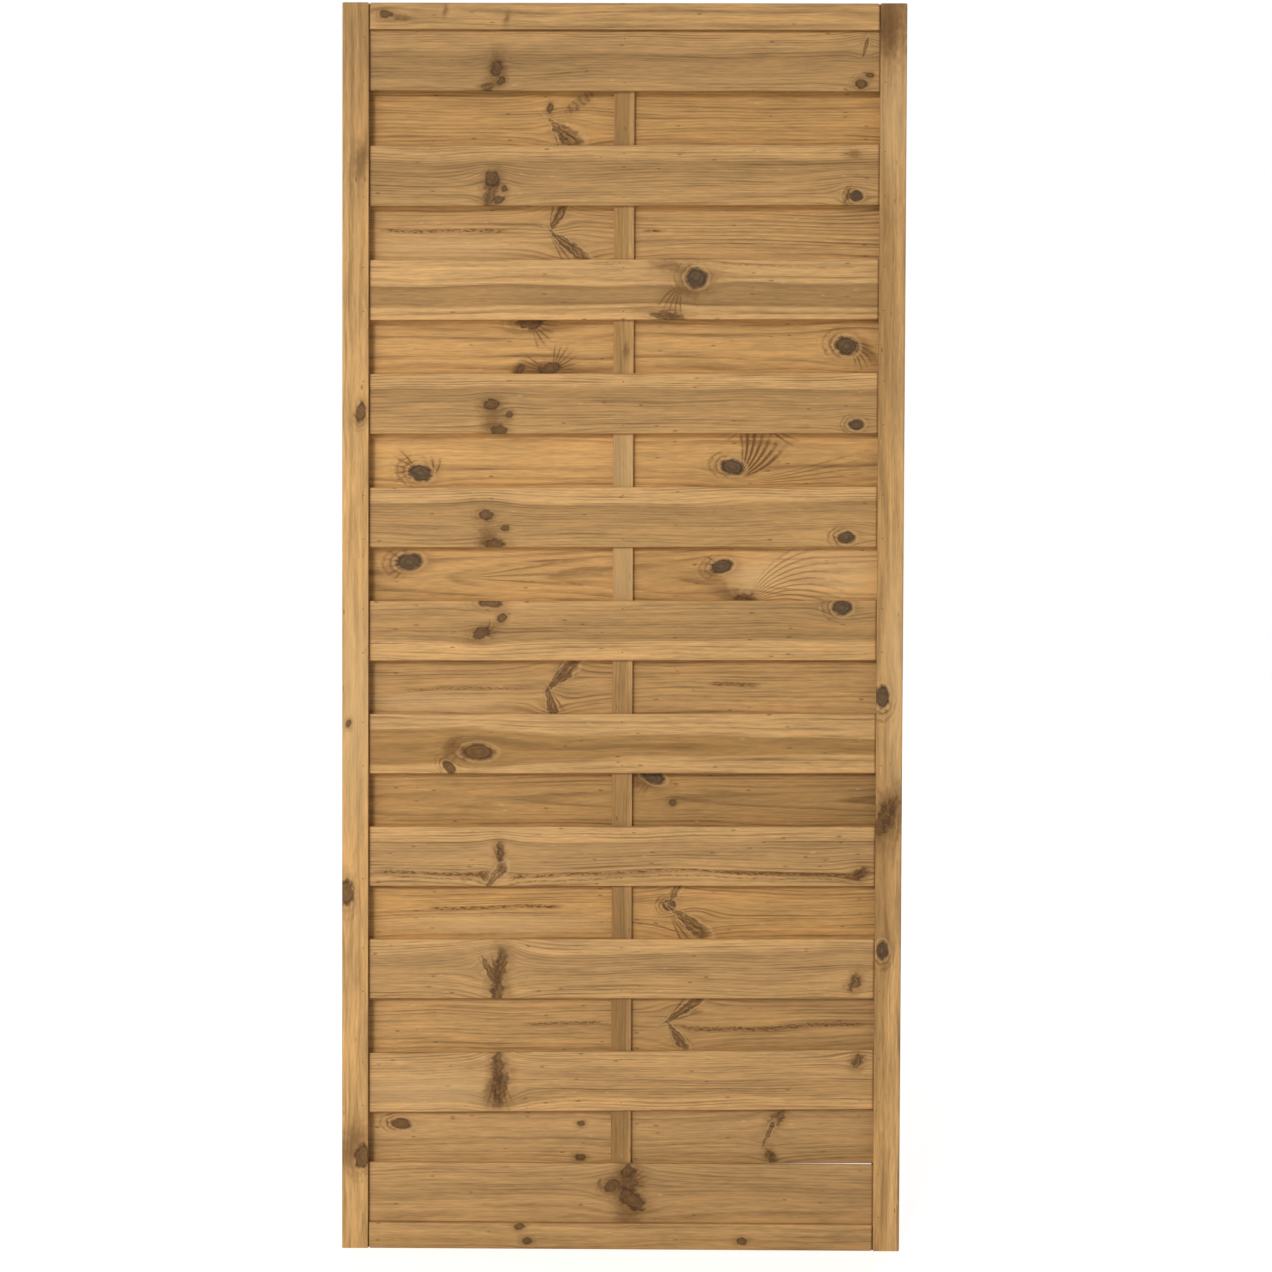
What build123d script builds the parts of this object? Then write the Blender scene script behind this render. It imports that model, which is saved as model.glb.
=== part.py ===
from build123d import *
import math
import os

# A wooden fence panel: two grooved stiles, two rails, a front and a back row of slats
# that cover each other's gaps, and an upright batten between the rows. It stands on
# the XY plane with its front towards -Y, its width along X and its middle on the Z axis.

# Overall size
panel_width = 900.0
panel_height = 2000.0

# Frame members: the face is their width seen from the front
frame_face = 42.0
lip_thickness = 8.0
groove_depth = 14.0
inner_chamfer = 3.5
outer_round = 3.0
end_easing = 0.8

# Rails: the tenons reach the groove floors and leave an open joint at the shoulders
tenon_clearance = 0.2
shoulder_gap = 2.0
shoulder_easing = 1.8

# Slats: the rise is how far a slat's right end lies above its left end
slat_width = 96.0
slat_thickness = 8.0
slat_easing = 1.5
least_overlap = 5.0
slat_end_gap = 2.0
slat_rise = 4.0
steep_rise = 10.0
last_back_rise = 6.5

# Digits kept when the gaps are counted, so that rounding noise adds none
count_digits = 3

# Batten between the two rows of slats
batten_width = 32.0
batten_thickness = 10.0

# Brads: rectangular wire, driven a little below the surface
brad_width = 2.0
brad_thickness = 1.4
brad_sink = 0.4
brad_point = 1.2
brad_cover = 1.0
brad_edge_distance = 13.0
brad_lip_inset = 8.0

# Countersunk screws at the frame corners, with a cross recess for the driver
screw_length = 80.0
screw_radius = 2.5
screw_head_radius = 4.7
screw_head_height = 2.6
recess_span = 4.8
recess_width = 1.2
recess_depth = 1.6

# The frame is as deep as the stack of lips, slats and batten
groove_width = 2 * slat_thickness + batten_thickness
frame_depth = groove_width + 2 * lip_thickness
opening_width = panel_width - 2 * frame_face
opening_height = panel_height - 2 * frame_face
stile_middle = (panel_width - frame_face) / 2
groove_middle = (opening_width + groove_depth) / 2
rail_bottom_height = frame_face / 2
rail_top_height = panel_height - frame_face / 2
rail_length = opening_width - 2 * shoulder_gap
tenon_span = opening_width + 2 * groove_depth
tenon_width = groove_width - 2 * tenon_clearance

# The front slats share out the opening's height, and each back slat covers a gap between them
slat_length = opening_width + 2 * (groove_depth - slat_end_gap)
row_offset = (batten_thickness + slat_thickness) / 2
widest_pitch = 2 * (slat_width - least_overlap)
gap_count = math.ceil(round((opening_height - slat_width) / widest_pitch, count_digits))
slat_pitch = (opening_height - slat_width) / gap_count
first_height = panel_height - frame_face - slat_width / 2
front_heights = [first_height - slat_pitch * index for index in range(gap_count + 1)]
back_heights = [height - slat_pitch / 2 for height in front_heights[:-1]]

# The slats against the rails lie level, and those between were fixed a little askew,
# the last but one of each row the most
front_rises = [0.0] + [slat_rise] * (gap_count - 2) + [steep_rise, 0.0]
back_rises = [slat_rise] * (gap_count - 2) + [steep_rise, last_back_rise]

# Brads go through a stile's lip into a slat end, or through a slat into the batten
lip_brad_x = opening_width / 2 + brad_lip_inset
lip_face = frame_depth / 2
lip_brad_reach = lip_thickness + slat_thickness - brad_cover
slat_face = row_offset + slat_thickness / 2
batten_brad_reach = slat_thickness + batten_thickness - brad_cover

# Signs of the sides and rows along X and Y
LEFT, RIGHT = -1, 1
FRONT, BACK = -1, 1
rows = {FRONT: list(zip(front_heights, front_rises)), BACK: list(zip(back_heights, back_rises))}
row_names = {FRONT: "front", BACK: "back"}
side_names = {LEFT: "left", RIGHT: "right"}


def slat_brads(height, rise, x):
    """Heights of the two brads that hold one slat at x."""
    middle = height + rise * x / slat_length
    reach = slat_width / 2 - brad_edge_distance
    return [middle + reach, middle - reach]


def line_brads(row, x):
    """Heights of the brads in one upright line, two to each slat of the row."""
    return [z for height, rise in rows[row] for z in slat_brads(height, rise, x)]


def cut_brad_slots(row, x, heights, face, reach):
    """Cut a line of brad slots, from a face inwards, into the piece being built."""
    with Locations(*[(x, row * (face - reach / 2), z) for z in heights]):
        Box(brad_width, reach, brad_thickness, mode=Mode.SUBTRACT)


def screw_profile(side, height):
    """Half section of a corner screw, from the stile's outer face inwards."""
    origin = (side * panel_width / 2, 0, height)
    with BuildSketch(Plane(origin, x_dir=(-side, 0, 0), z_dir=(0, side, 0)), mode=Mode.PRIVATE) as profile:
        with BuildLine():
            Polyline(
                (0, 0),
                (0, screw_head_radius),
                (screw_head_height, screw_radius),
                (screw_length, screw_radius),
                (screw_length, 0),
                close=True,
            )
        make_face()
    return profile.sketch


def screw_axis(height):
    """The line on which both screws of one rail lie."""
    return Axis((0, 0, height), (1, 0, 0))


def save(part, name):
    """Label a finished piece and write it to its own file."""
    part.label = name
    export_step(part, f"parts/{name}.step")


os.makedirs("parts", exist_ok=True)

# Stiles: full height, grooved for the slat ends and the rail tenons
for side, side_name in side_names.items():
    with BuildPart() as stile:
        with BuildSketch(Plane.XY) as stile_section:
            with Locations((side * stile_middle, 0)):
                Rectangle(frame_face, frame_depth)
            corners = stile_section.vertices().group_by(Axis.X, reverse=side == RIGHT)
            fillet(corners[0], radius=outer_round)
            chamfer(corners[-1], length=inner_chamfer)
            with Locations((side * groove_middle, 0)):
                Rectangle(groove_depth, groove_width, mode=Mode.SUBTRACT)
        extrude(amount=panel_height)
        chamfer(stile.faces().filter_by(Axis.Z).edges().filter_by(Axis.Y), length=end_easing)
        for row in rows:
            cut_brad_slots(row, side * lip_brad_x, line_brads(row, side * lip_brad_x), lip_face, lip_brad_reach)
        for height in (rail_bottom_height, rail_top_height):
            revolve(screw_profile(side, height), axis=screw_axis(height), mode=Mode.SUBTRACT)
    save(stile.part, f"stile_{side_name}")

# Rails: between the stiles, with a tenon at each end
for rail_name, height in (("rail_bottom", rail_bottom_height), ("rail_top", rail_top_height)):
    with BuildPart() as rail:
        with BuildSketch(Plane.YZ) as rail_section:
            with Locations((0, height)):
                Rectangle(frame_depth, frame_face)
            corners = rail_section.vertices().group_by(Axis.Y, reverse=height == rail_top_height)
            fillet(corners[0], radius=outer_round)
            chamfer(corners[-1], length=inner_chamfer)
        extrude(amount=rail_length / 2, both=True)
        chamfer(rail.faces().filter_by(Axis.X).edges().filter_by(Axis.Z), length=shoulder_easing)
        with Locations((0, 0, height)):
            Box(tenon_span, tenon_width, frame_face)
        for side in side_names:
            revolve(screw_profile(side, height), axis=screw_axis(height), mode=Mode.SUBTRACT)
    save(rail.part, rail_name)

# Batten: upright between the rows of slats, from rail to rail
with BuildPart() as centre_batten:
    with Locations((0, 0, panel_height / 2)):
        Box(batten_width, batten_thickness, opening_height)
    for row in rows:
        cut_brad_slots(row, 0, line_brads(row, 0), slat_face, batten_brad_reach)
save(centre_batten.part, "centre_batten")

# Slats: each lies against the stiles' lips on one side and the batten on the other
for row, row_name in row_names.items():
    for number, (height, rise) in enumerate(rows[row], start=1):
        slat_plane = Plane((0, row * row_offset, height), x_dir=(0, 1, 0), z_dir=(slat_length, 0, rise))
        with BuildPart() as slat:
            with BuildSketch(slat_plane) as slat_section:
                Rectangle(slat_thickness, slat_width)
                chamfer(slat_section.vertices(), length=slat_easing)
            extrude(amount=slat_length / 2, both=True)
            for x in (-lip_brad_x, lip_brad_x):
                cut_brad_slots(row, x, slat_brads(height, rise, x), lip_face, lip_brad_reach)
            cut_brad_slots(row, 0, slat_brads(height, rise, 0), slat_face, batten_brad_reach)
        save(slat.part, f"slat_{row_name}_{number:02d}")

# Brads: one group for each upright line
for row, row_name in row_names.items():
    lines = {
        f"batten_brads_{row_name}": (0, slat_face, batten_brad_reach),
        f"stile_brads_{row_name}_left": (-lip_brad_x, lip_face, lip_brad_reach),
        f"stile_brads_{row_name}_right": (lip_brad_x, lip_face, lip_brad_reach),
    }
    for line_name, (x, face, reach) in lines.items():
        head, neck, tip = (row * (face - depth) for depth in (brad_sink, reach - brad_point, reach))
        with BuildPart() as brads:
            with BuildSketch(Plane.YZ.offset(x - brad_width / 2)):
                for z in line_brads(row, x):
                    low, high = z - brad_thickness / 2, z + brad_thickness / 2
                    with BuildLine():
                        Polyline((head, low), (neck, low), (tip, z), (neck, high), (head, high), close=True)
                    make_face()
            extrude(amount=brad_width)
        save(brads.part, line_name)

# Screws: one at each corner, through the stile into the rail's end
with BuildPart() as frame_screws:
    for side in side_names:
        for height in (rail_bottom_height, rail_top_height):
            revolve(screw_profile(side, height), axis=screw_axis(height))
            head_plane = Plane((side * panel_width / 2, 0, height), x_dir=(0, 1, 0), z_dir=(side, 0, 0))
            with BuildSketch(head_plane):
                Rectangle(recess_span, recess_width)
                Rectangle(recess_width, recess_span)
            extrude(amount=-recess_depth, mode=Mode.SUBTRACT)
save(frame_screws.part, "frame_screws")
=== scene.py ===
"""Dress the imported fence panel: planed slats, knotty treated pine, steel fasteners and a white studio."""

import logging
import math
from collections.abc import Callable
from dataclasses import asdict, dataclass, field, fields
from enum import Enum
from functools import partial
from typing import Any, TypeAlias

import bpy
from mathutils import Matrix, Vector


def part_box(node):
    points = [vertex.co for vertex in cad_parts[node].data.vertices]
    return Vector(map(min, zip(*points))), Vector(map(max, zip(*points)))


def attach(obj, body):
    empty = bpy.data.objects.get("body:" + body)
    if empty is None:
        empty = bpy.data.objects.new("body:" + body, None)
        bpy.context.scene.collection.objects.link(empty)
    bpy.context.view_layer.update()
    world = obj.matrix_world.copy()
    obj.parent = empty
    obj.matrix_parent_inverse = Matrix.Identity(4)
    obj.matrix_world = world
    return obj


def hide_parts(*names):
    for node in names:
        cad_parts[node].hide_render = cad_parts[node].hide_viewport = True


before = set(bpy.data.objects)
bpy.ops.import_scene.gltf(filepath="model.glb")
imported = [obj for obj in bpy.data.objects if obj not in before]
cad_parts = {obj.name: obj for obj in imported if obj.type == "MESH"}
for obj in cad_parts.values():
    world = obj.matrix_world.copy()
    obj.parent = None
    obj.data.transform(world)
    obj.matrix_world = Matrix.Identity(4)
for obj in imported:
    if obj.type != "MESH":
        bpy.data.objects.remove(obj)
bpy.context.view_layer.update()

log = logging.getLogger("fence_panel")

Colour: TypeAlias = tuple[float, float, float, float]
Place: TypeAlias = tuple[float, float, float]
Sockets: TypeAlias = dict[int | str, Any]
Value: TypeAlias = "Signal | float"

METRES_TO_MM = 1000.0
MM = 0.001
FLOAT = "NodeSocketFloat"
COLOUR = "NodeSocketColor"


def linear(*levels: int) -> Colour:
    """Turn a screen colour into the linear colour that a shader takes.

    Args:
        levels: Red, green and blue from 0 to 255.

    Returns:
        Linear red, green, blue and an alpha of one.
    """
    shares = [level / 255 for level in levels]
    light = [share / 12.92 if share <= 0.04045 else ((share + 0.055) / 1.055) ** 2.4 for share in shares]
    return (*light, 1.0)


def put(name: str, data: bpy.types.ID) -> bpy.types.Object:
    """Put new data into the scene.

    Args:
        name: The new object's name.
        data: Its mesh, lamp or lens.

    Returns:
        The object, at the origin.
    """
    made = bpy.data.objects.new(name, data)
    bpy.context.scene.collection.objects.link(made)
    return made


def operator(kind: str, swapped: bool = False) -> Callable[["Signal", Value], "Signal"]:
    """Make the method behind one of Signal's operators.

    Args:
        kind: The Math node's operation.
        swapped: Whether the other value comes first.

    Returns:
        The method.
    """
    def apply(self: "Signal", other: Value) -> "Signal":
        """Make the Math node."""
        return self.tree.math(kind, other, self) if swapped else self.tree.math(kind, self, other)

    return apply


class Signal:
    """A node's output socket that takes part in Python expressions."""

    def __init__(self, tree: "Nodes", socket: bpy.types.NodeSocket) -> None:
        """Keep the socket and the tree that its expressions add nodes to."""
        self.tree = tree
        self.socket = socket

    __add__ = operator("ADD")
    __radd__ = operator("ADD", swapped=True)
    __sub__ = operator("SUBTRACT")
    __rsub__ = operator("SUBTRACT", swapped=True)
    __mul__ = operator("MULTIPLY")
    __rmul__ = operator("MULTIPLY", swapped=True)
    __truediv__ = operator("DIVIDE")
    __rtruediv__ = operator("DIVIDE", swapped=True)
    __gt__ = operator("GREATER_THAN")
    __lt__ = operator("LESS_THAN")

    def __abs__(self) -> "Signal":
        """Drop the sign."""
        return self.tree.math("ABSOLUTE", self)

    def root(self) -> "Signal":
        """Take the square root."""
        return self.tree.math("SQRT", self)

    def fraction(self) -> "Signal":
        """Keep what is behind the decimal point."""
        return self.tree.math("FRACT", self)

    def wave(self) -> "Signal":
        """Turn an angle into a wave between zero and one."""
        return self.tree.math("SINE", self) * 0.5 + 0.5

    def step(self, zero: float, one: float) -> "Signal":
        """Go smoothly from zero to one.

        Args:
            zero: Where it is zero.
            one: Where it is one, which may be the smaller of the two.

        Returns:
            The share.
        """
        if one < zero:
            return 1.0 - self.step(one, zero)
        settings = {"interpolation_type": "SMOOTHSTEP"}
        return self.tree.node("ShaderNodeMapRange", settings, {0: self, 1: zero, 2: one})

    def output(self, name: str) -> "Signal":
        """Give another output of the same node."""
        return Signal(self.tree, self.socket.node.outputs[name])


class Nodes:
    """Adds nodes to one tree."""

    def __init__(self, tree: bpy.types.NodeTree) -> None:
        """Keep the tree to build in."""
        self.tree = tree

    def node(self, kind: str, settings: dict[str, Any], sockets: Sockets, output: int | str = 0) -> Signal:
        """Make any node.

        Args:
            kind: The node's type.
            settings: Its properties, and a ramp's stops under "stops", set before its sockets.
            sockets: A value or a signal for each input, by index or name.
            output: The output to return.

        Returns:
            The chosen output as a signal.
        """
        made = self.tree.nodes.new(kind)
        for name, value in settings.items():
            if name == "stops":
                self._set_stops(made.color_ramp, value)
            else:
                setattr(made, name, value)
        self.fill(made, sockets)
        return Signal(self, made.outputs[output])

    def fill(self, node: bpy.types.Node, sockets: Sockets) -> None:
        """Set some of a node's inputs.

        Args:
            node: The node.
            sockets: A value or a signal for each input, by index or name.
        """
        for key, value in sockets.items():
            if isinstance(value, Signal):
                self.tree.links.new(value.socket, node.inputs[key])
            else:
                node.inputs[key].default_value = value

    @staticmethod
    def _set_stops(ramp: bpy.types.ColorRamp, stops: list[tuple[float, Colour]]) -> None:
        """Put a ramp's stops in place.

        Args:
            ramp: The ramp.
            stops: Place and colour of each stop, from low to high.
        """
        while len(ramp.elements) < len(stops):
            ramp.elements.new(1.0)
        for element, (position, colour) in zip(ramp.elements, stops):
            element.position = position
            element.color = colour

    def math(self, operation: str, *values: Value) -> Signal:
        """Make one Math node from values and signals."""
        return self.node("ShaderNodeMath", {"operation": operation}, dict(enumerate(values)))

    def mix(self, share: Value, low: Signal | Colour, high: Signal | Colour, blend: str = "MIX") -> Signal:
        """Mix two colours.

        Args:
            share: How much of the second colour shows.
            low: The first colour.
            high: The second colour.
            blend: The way they are mixed.

        Returns:
            The mixed colour.
        """
        settings = {"data_type": "RGBA", "blend_type": blend}
        return self.node("ShaderNodeMix", settings, {0: share, 6: low, 7: high}, output=2)

    def vector(self, x: Value, y: Value, z: Value) -> Signal:
        """Join three values to a vector."""
        return self.node("ShaderNodeCombineXYZ", {}, {0: x, 1: y, 2: z})

    def scale(self, vector: Signal, share: Value) -> Signal:
        """Scale a vector or a colour by a value."""
        return self.node("ShaderNodeVectorMath", {"operation": "SCALE"}, {0: vector, "Scale": share})

    def split(self, vector: Signal) -> tuple[Signal, Signal, Signal]:
        """Part a vector into its three values."""
        first = self.node("ShaderNodeSeparateXYZ", {}, {0: vector})
        return first, first.output("Y"), first.output("Z")

    def noise(self, place: Signal, detail: float = 2.0) -> Signal:
        """Make soft noise around zero, one lump to a unit of place."""
        return self.node("ShaderNodeTexNoise", {}, {"Vector": place, "Scale": 1.0, "Detail": detail}) - 0.5


class GroupTree(Nodes):
    """A node tree of its own, with named inputs and one output."""

    def __init__(self, name: str, kind: str, inputs: dict[str, str], result: str) -> None:
        """Make the empty tree.

        Args:
            name: The tree's name.
            kind: The tree's type.
            inputs: The socket type of each named input.
            result: The socket type of its output.
        """
        super().__init__(bpy.data.node_groups.new(name, kind))
        self.sockets: dict[str, bpy.types.NodeTreeInterfaceSocket] = {}
        for key, socket in inputs.items():
            self.sockets[key] = self.tree.interface.new_socket(key, in_out="INPUT", socket_type=socket)
        self.tree.interface.new_socket("result", in_out="OUTPUT", socket_type=result)
        self._entry = self.tree.nodes.new("NodeGroupInput")

    def given(self, name: str) -> Signal:
        """Give one of the tree's inputs."""
        return Signal(self, self._entry.outputs[name])

    def returns(self, result: Signal) -> None:
        """Connect the tree's output."""
        self.fill(self.tree.nodes.new("NodeGroupOutput"), {0: result})


class MarkGroup(GroupTree):
    """A shader group that takes a running value, such as a colour, and gives it back with one mark more."""

    def __init__(self, name: str, kind: str, numbers: str) -> None:
        """Make the empty group.

        Args:
            name: The group's name.
            kind: The socket type of the running value.
            numbers: Names of its other inputs, with blanks between them.
        """
        names = numbers.split()
        super().__init__(name, "ShaderNodeTree", {"running": kind} | dict.fromkeys(names, FLOAT), kind)
        self.running = self.given("running")
        self.numbers = [self.given(number) for number in names]

    def use(self, nodes: Nodes, running: Signal, sockets: Sockets) -> Signal:
        """Put the group into a tree.

        Args:
            nodes: The tree that uses it.
            running: The value to change.
            sockets: Values and signals for its other inputs.

        Returns:
            The changed value.
        """
        return nodes.node("ShaderNodeGroup", {"node_tree": self.tree}, sockets | {"running": running})


def new_material(name: str) -> tuple[bpy.types.Material, Nodes, bpy.types.Node]:
    """Make a material.

    Args:
        name: Its name.

    Returns:
        The material, its nodes and its shader.
    """
    material = bpy.data.materials.new(name)
    material.use_nodes = True
    return material, Nodes(material.node_tree), material.node_tree.nodes["Principled BSDF"]


class Tint:
    """Colours of the treated pine and the steel, as they look in plain light."""

    SAP_GOLD = linear(204, 160, 103)
    SAP_PALE = linear(216, 178, 126)
    SAP_HONEY = linear(205, 157, 95)
    HEART_OLIVE = linear(164, 126, 77)
    HEART_BROWN = linear(166, 125, 71)
    HEART_GREY = linear(169, 131, 83)
    LATEWOOD = linear(136, 92, 46)
    BLUSH = linear(255, 244, 234)
    KNOT_GREY = linear(82, 67, 47)
    KNOT_BROWN = linear(100, 66, 30)
    KNOT_RIM = linear(52, 32, 13)
    KNOT_HALO = linear(126, 86, 42)
    RESIN = linear(100, 62, 25)
    FLECK = linear(232, 204, 162)
    # Painted shade for the crevice where the front slats run under the stiles' lips
    CREVICE = linear(96, 62, 26)
    END_GRAIN = linear(140, 104, 62)
    SILVER = linear(176, 170, 160)
    RUST = linear(92, 62, 38)


class Grain(Enum):
    """The way a board's fibres run."""

    LEVEL = "level"
    UPRIGHT = "upright"


@dataclass(frozen=True)
class Ink:
    """How one form of knot, stain or pale patch is drawn.

    Attributes:
        core: Darkness inside.
        rim: Darkness of the bark line around it.
        halo: Darkness of the wood around it.
        grey: How grey rather than brown its core is.
        pale: Brightness of the sheath outside the rim.
        fade: How much paler than the board it is inside.
        arcs: Darkness of the fibre lines that close round its start.
        soft: How softly its outline fades.
        ragged: How uneven its outline is.
        bars: Dark bars across its length.
        lines: Dark lines along its length.
        striped: How clearly bars and lines show.
        taper: How much narrower it starts than it ends.
    """

    core: float = 0.0
    rim: float = 0.0
    halo: float = 0.0
    grey: float = 0.0
    pale: float = 0.0
    fade: float = 0.0
    arcs: float = 0.0
    soft: float = 0.0
    ragged: float = 0.8
    bars: float = 0.0
    lines: float = 0.0
    striped: float = 0.0
    taper: float = 0.0


class Form(Enum):
    """The forms that a knot takes where the saw cut it, and the stains and pale patches of a board."""

    ROUND = Ink(0.92, 0.7, 0.5, grey=0.8, pale=0.3, arcs=0.8, ragged=0.4)
    PIN = Ink(0.8, 0.65, 0.6, grey=0.2, arcs=0.3, ragged=0.9)
    EYE = Ink(0.85, 0.6, 0.4, grey=0.05, pale=0.2, arcs=0.9, ragged=0.2)
    SMUDGE = Ink(0.6, 0.25, 0.55, soft=0.15, ragged=1.8, lines=0.9, striped=0.5)
    WASH = Ink(0.2, halo=0.16, soft=0.6, ragged=0.5)
    BLEACH = Ink(fade=0.36, soft=0.6)
    STAIN = Ink(0.5, halo=0.4, soft=0.55, ragged=1.6)
    SPIKE = Ink(0.3, 0.42, 0.35, pale=0.35, ragged=1.1, lines=1.2, striped=0.5, taper=0.35)
    FEATHER = Ink(0.25, halo=0.3, ragged=0.6, bars=2.6, striped=0.35)


@dataclass(frozen=True)
class Knot:
    """One knot on a board's face, in millimetres along and across the board from its middle.

    Attributes:
        along: Place along the fibres.
        across: Place across them.
        reach: Half its length.
        girth: Half its width.
        turn: Degrees from the fibres to its length.
        form: How the saw cut it.
    """

    along: float
    across: float
    reach: float
    girth: float
    turn: float = 0.0
    form: Form = field(kw_only=True)

    @property
    def ink(self) -> Ink:
        """Give the way that its form is drawn."""
        return self.form.value

    @property
    def barked(self) -> bool:
        """Tell whether it is a hard knot with bark around it, and not a stain or a pale patch."""
        return self.ink.rim > 0


# One maker of knots for each form, in the order that Form lists them
makers = [partial(Knot, form=form) for form in Form]
round_knot, pin, eye, smudge, wash, bleach, stain, spike, feather = makers


@dataclass(frozen=True)
class Fan:
    """Dark growth lines that spread from one point, in millimetres from the board's middle.

    Attributes:
        along: The point's place along the fibres.
        across: Its place across them.
        reach: Length of the lines.
        turn: Degrees from the fibres to the middle line.
        spread: Degrees from the middle line to the outer ones.
        count: Number of lines.
        bend: Degrees that a line turns on its way.
        fill: Darkness of the wood between the lines.
        bold: How broad the lines are, from 0 to about 0.5.
        depth: How dark the lines are, from 0 to 1.
    """

    along: float
    across: float
    reach: float
    turn: float
    spread: float = 35.0
    count: float = 5.0
    bend: float = 0.0
    fill: float = 0.2
    bold: float = 0.0
    depth: float = 0.75


@dataclass(frozen=True)
class Streak:
    """A dotted line of resin along the fibres, in millimetres from the board's middle.

    Attributes:
        start: Where it begins along the fibres.
        end: Where it ends.
        place: Its place across them.
        girth: Half its width.
        depth: How dark it is, from 0 to 1.
    """

    start: float
    end: float
    place: float
    girth: float = 2.5
    depth: float = 0.6


@dataclass(frozen=True)
class Figure:
    """What one board shows of its log.

    Attributes:
        zones: Heartwood shares at places across the board, from its lower or left edge on.
        knots: Its knots.
        fans: The lines that spread from some of them.
        streaks: Its resin lines.
        sap: Colour of the sapwood.
        heart: Colour of the heartwood.
        pith: Where the log's middle lies, across and behind the face.
        ring: Width of a year's growth.
        slant: How far the log's middle comes nearer along a metre of board.
        flare: How much narrower its bands are at its upper or right end.
        mottle: How blotchy the treatment left it.
        contrast: How dark the latewood is, from 0 to 1 or a little more.
        specks: Share of resin specks.
        tone: Brightness at its lower or left end and at the other end.
    """

    zones: tuple[tuple[float, float], ...]
    knots: tuple[Knot, ...] = ()
    fans: tuple[Fan, ...] = ()
    streaks: tuple[Streak, ...] = ()
    sap: Colour = Tint.SAP_GOLD
    heart: Colour = Tint.HEART_OLIVE
    pith: tuple[float, float] = (-70.0, 30.0)
    ring: float = 4.8
    slant: float = 0.0
    flare: float = 0.0
    mottle: float = 1.0
    contrast: float = 0.95
    specks: float = 0.6
    tone: tuple[float, float] = (1.0, 1.0)


@dataclass(frozen=True)
class Board:
    """Place and size of one board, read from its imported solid, in millimetres.

    Attributes:
        node: The solid's name.
        grain: The way its fibres run.
        middle: Its middle.
        length: Its length along the fibres.
        width: Its width across them.
        thickness: Its depth from front to back.
        rise: How far a level board's right end lies above its left end.
    """

    node: str
    grain: Grain
    middle: Vector
    length: float
    width: float
    thickness: float
    rise: float = 0.0

    @classmethod
    def from_node(cls, node: str, grain: Grain, width: float | None = None) -> "Board":
        """Measure a board's solid.

        Args:
            node: The solid's name.
            grain: The way its fibres run.
            width: The board's own width, where the solid may lie askew.

        Returns:
            The board.
        """
        low, high = (corner * METRES_TO_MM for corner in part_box(node))
        size = high - low
        along, across = (size.x, size.z) if grain is Grain.LEVEL else (size.z, size.x)
        rise = 0.0
        if width is not None:
            top = max(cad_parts[node].data.vertices, key=lambda vertex: vertex.co.z)
            rise = math.copysign(across - width, top.co.x)
        return cls(node, grain, (low + high) / 2, along, width or across, size.y, rise)

    @property
    def faces_front(self) -> bool:
        """Tell whether the board lies in the front half of the panel."""
        return self.middle.y < 0


class SwerveGroup(MarkGroup):
    """Bends the fibres round a knot, with the least distances of its reach in millimetres."""

    STRENGTH = 2.6
    LEAST_SIDE = 7.0
    LEAST_AHEAD = 16.0

    def __init__(self) -> None:
        """Build the group."""
        super().__init__("fibre swerve", FLOAT, "along across knot_along knot_across reach girth")
        along, across, knot_along, knot_across, reach, girth = self.numbers
        side = (across - knot_across) / (girth * 1.5 + self.LEAST_SIDE)
        ahead = (along - knot_along) / (reach * 2.0 + self.LEAST_AHEAD)
        near = 1.0 + side * side + ahead * ahead
        self.returns(self.running - girth * self.STRENGTH * side / (near * near))


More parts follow.
